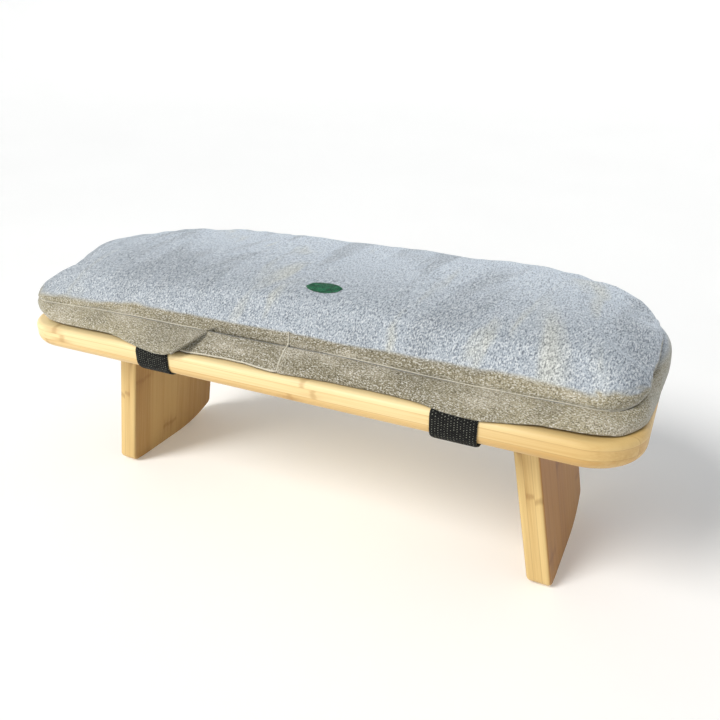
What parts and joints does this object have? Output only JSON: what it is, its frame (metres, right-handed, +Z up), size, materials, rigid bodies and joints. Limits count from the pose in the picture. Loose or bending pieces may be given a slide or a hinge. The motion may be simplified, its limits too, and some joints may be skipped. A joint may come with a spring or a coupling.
{
  "type": "kneeling bench",
  "caption": "Low folding kneeling bench: D-shaped bamboo seat on splayed rocker-footed legs that hinge flat under it, with a boxed velvet cushion held by elastic straps.",
  "frame": {"origin": "on the floor under the middle of the seat board and its straps", "axes": "+Z up, +X along the seat's length, +Y from the straight near edge towards the edge with the large rounded corners"},
  "size_m": [0.48, 0.2098, 0.1906],
  "materials": {
    "bamboo_board": "satin",
    "bamboo_leg": "satin",
    "hinge_steel": "satin",
    "pin_steel": "satin",
    "screw_steel": "satin",
    "cup_steel": "bright",
    "magnet": "nickel plated",
    "elastic": "woven",
    "velvet": "velvet pile",
    "lining": "plain weave",
    "foam": "open-cell foam",
    "embroidery": "satin stitch",
    "zip_cloth": "woven tape",
    "zip_nylon": "moulded coil",
    "zip_metal": "satin"
  },
  "bodies": {
    "root": {"seat_board": "bamboo_board", "left_near_hinge_board_leaf": "hinge_steel", "left_near_hinge_pin": "pin_steel", "left_far_hinge_board_leaf": "hinge_steel", "left_far_hinge_pin": "pin_steel", "left_board_leaf_screws": "screw_steel", "left_magnet_screw": "screw_steel", "left_magnet_cup": "cup_steel", "left_ring_magnet": "magnet", "left_elastic_strap": "elastic", "right_near_hinge_board_leaf": "hinge_steel", "right_near_hinge_pin": "pin_steel", "right_far_hinge_board_leaf": "hinge_steel", "right_far_hinge_pin": "pin_steel", "right_board_leaf_screws": "screw_steel", "right_magnet_screw": "screw_steel", "right_magnet_cup": "cup_steel", "right_ring_magnet": "magnet", "right_elastic_strap": "elastic", "cushion_cover_top": "velvet", "cushion_cover_band": "velvet", "cushion_cover_bottom": "lining", "cushion_foam_core": "foam", "cushion_embroidered_motif": "embroidery", "zip_tape": "zip_cloth", "zip_coil": "zip_nylon"},
    "left_leg": {"left_leg": "bamboo_leg", "left_near_hinge_leg_leaf": "hinge_steel", "left_far_hinge_leg_leaf": "hinge_steel", "left_leg_leaf_screws": "screw_steel", "left_strike_plate": "cup_steel", "left_strike_screw": "screw_steel"},
    "right_leg": {"right_leg": "bamboo_leg", "right_near_hinge_leg_leaf": "hinge_steel", "right_far_hinge_leg_leaf": "hinge_steel", "right_leg_leaf_screws": "screw_steel", "right_strike_plate": "cup_steel", "right_strike_screw": "screw_steel"},
    "zip_slider": {"zip_slider": "zip_metal"},
    "zip_pull": {"zip_pull": "zip_metal"}
  },
  "joints": [
    {"name": "left_leg_fold", "type": "hinge", "parent": "root", "child": "left_leg", "pos_m": [-0.15449, -0.0015, 0.12325], "axis": [0, -1, 0], "range_deg": [0, 100]},
    {"name": "right_leg_fold", "type": "hinge", "parent": "root", "child": "right_leg", "pos_m": [0.15449, -0.0015, 0.12325], "axis": [0, 1, 0], "range_deg": [0, 100]},
    {"name": "zip_slide", "type": "slide", "parent": "root", "child": "zip_slider", "axis": [-1, 0, 0], "range_m": [0, 0.2]},
    {"name": "zip_pull_swing", "type": "hinge", "parent": "zip_slider", "child": "zip_pull", "pos_m": [0.1, 0.1016, 0.1538], "axis": [0, 0, 1], "range_deg": [0, 175]}
  ]
}
